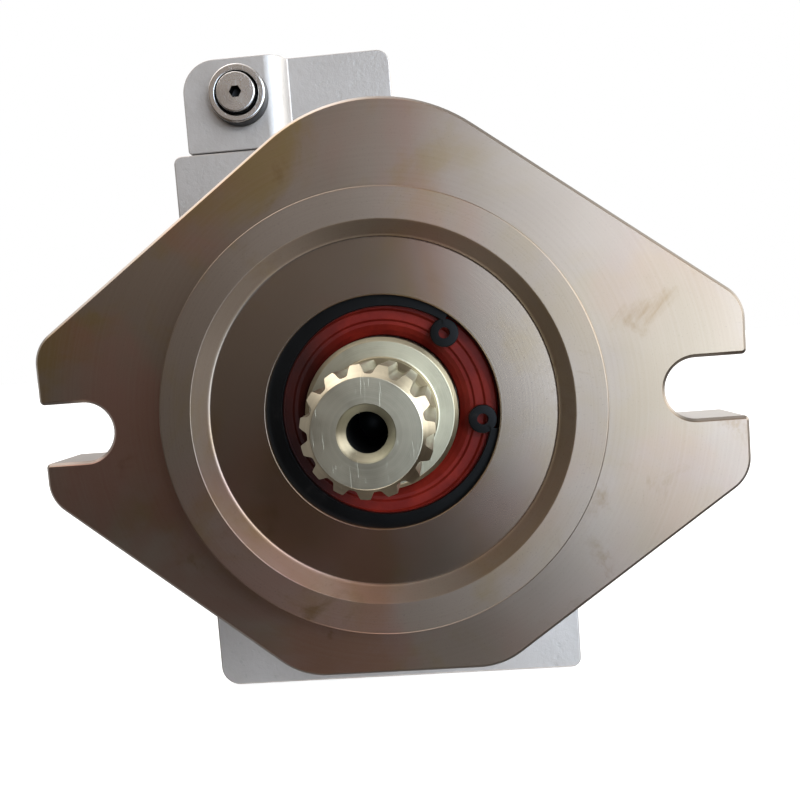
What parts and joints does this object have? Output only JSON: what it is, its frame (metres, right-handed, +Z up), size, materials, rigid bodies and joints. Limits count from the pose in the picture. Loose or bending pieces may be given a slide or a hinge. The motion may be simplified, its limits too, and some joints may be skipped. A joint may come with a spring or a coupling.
{
  "type": "axial piston pump",
  "caption": "Variable displacement axial piston pump with a two-bolt flange, splined shaft, side ports and a pressure compensator on top.",
  "frame": {"origin": "on the shaft axis, in the plane of the mounting flange's front face", "axes": "+Y from the shaft's end towards the port plate, +X to the right seen from the shaft, +Z up"},
  "size_m": [0.1683, 0.278, 0.1973],
  "materials": {
    "machined_iron": "machined grey-brown iron, satin, a little oily",
    "cast_metal": "smooth silver-grey, satin",
    "shaft_steel": "ground steel, satin",
    "dark_steel": "black oxide",
    "bronze": "lapped bronze",
    "seal_rubber": "dark red-brown seal rubber",
    "gasket_fibre": "matt fibre"
  },
  "bodies": {
    "housing_group": {"housing": "machined_iron", "port_plate": "cast_metal", "housing_gasket": "gasket_fibre", "housing_bolt_1": "dark_steel", "housing_bolt_2": "dark_steel", "housing_bolt_3": "dark_steel", "housing_bolt_4": "dark_steel", "shaft_seal": "seal_rubber", "seal_circlip": "dark_steel", "front_bearing_cup": "shaft_steel", "rear_bearing_cup": "shaft_steel", "valve_plate": "bronze", "swashplate": "shaft_steel", "cradle_bearing_left": "bronze", "cradle_bearing_right": "bronze", "control_valve_block": "cast_metal", "valve_bolt_1": "dark_steel", "valve_bolt_2": "dark_steel", "valve_bolt_3": "dark_steel", "valve_bolt_4": "dark_steel", "valve_rear_plug": "dark_steel", "adjuster_sleeve": "shaft_steel", "adjuster_lock_ring": "shaft_steel", "case_drain_plug": "dark_steel", "stroke_piston": "shaft_steel", "bias_piston": "shaft_steel", "bias_spring": "shaft_steel", "stroke_stop_screw": "dark_steel", "stroke_stop_nut": "dark_steel"},
    "rotating_group": {"drive_shaft": "shaft_steel", "front_bearing_cone": "shaft_steel", "rear_bearing_cone": "shaft_steel", "cylinder_block": "shaft_steel", "piston_1": "shaft_steel", "piston_2": "shaft_steel", "piston_3": "shaft_steel", "piston_4": "shaft_steel", "piston_5": "shaft_steel", "piston_6": "shaft_steel", "piston_7": "shaft_steel", "piston_8": "shaft_steel", "piston_9": "shaft_steel", "slipper_1": "bronze", "slipper_2": "bronze", "slipper_3": "bronze", "slipper_4": "bronze", "slipper_5": "bronze", "slipper_6": "bronze", "slipper_7": "bronze", "slipper_8": "bronze", "slipper_9": "bronze", "retaining_plate": "shaft_steel", "retaining_ball": "shaft_steel", "block_spring": "shaft_steel"},
    "front_cage": {"front_bearing_rollers": "bronze"},
    "rear_cage": {"rear_bearing_rollers": "bronze"},
    "spool": {"compensator_spool": "shaft_steel"},
    "spring_seat": {"compensator_spring_seat": "shaft_steel", "compensator_spring": "shaft_steel"},
    "adjusting_screw": {"pressure_adjusting_screw": "shaft_steel"}
  },
  "joints": [
    {"name": "shaft_spin", "type": "hinge", "parent": "housing_group", "child": "rotating_group", "pos_m": [0, 0, 0], "axis": [0, 1, 0], "continuous": true},
    {"name": "front_cage_spin", "type": "hinge", "parent": "housing_group", "child": "front_cage", "pos_m": [0, 0, 0], "axis": [0, 1, 0], "continuous": true},
    {"name": "rear_cage_spin", "type": "hinge", "parent": "housing_group", "child": "rear_cage", "pos_m": [0, 0, 0], "axis": [0, 1, 0], "continuous": true},
    {"name": "spool_slide", "type": "slide", "parent": "housing_group", "child": "spool", "axis": [0, -1, 0], "range_m": [0, 0.003], "stiffness_N_per_m": 2000, "springref_m": -0.001, "deforming": ["compensator_spring"]},
    {"name": "seat_slide", "type": "slide", "parent": "housing_group", "child": "spring_seat", "axis": [0, 1, 0], "range_m": [-0.002, 0.001]},
    {"name": "adjuster_turn", "type": "hinge", "parent": "spring_seat", "child": "adjusting_screw", "pos_m": [-0.0413, 0, 0.0944], "axis": [0, 1, 0], "range_deg": [-720, 360]}
  ],
  "couplings": [
    {"joint": "front_cage_spin", "follows": "shaft_spin", "ratio": 0.43},
    {"joint": "rear_cage_spin", "follows": "shaft_spin", "ratio": 0.43},
    {"joint": "seat_slide", "follows": "adjuster_turn", "m_per_rad": 0.00015915}
  ]
}
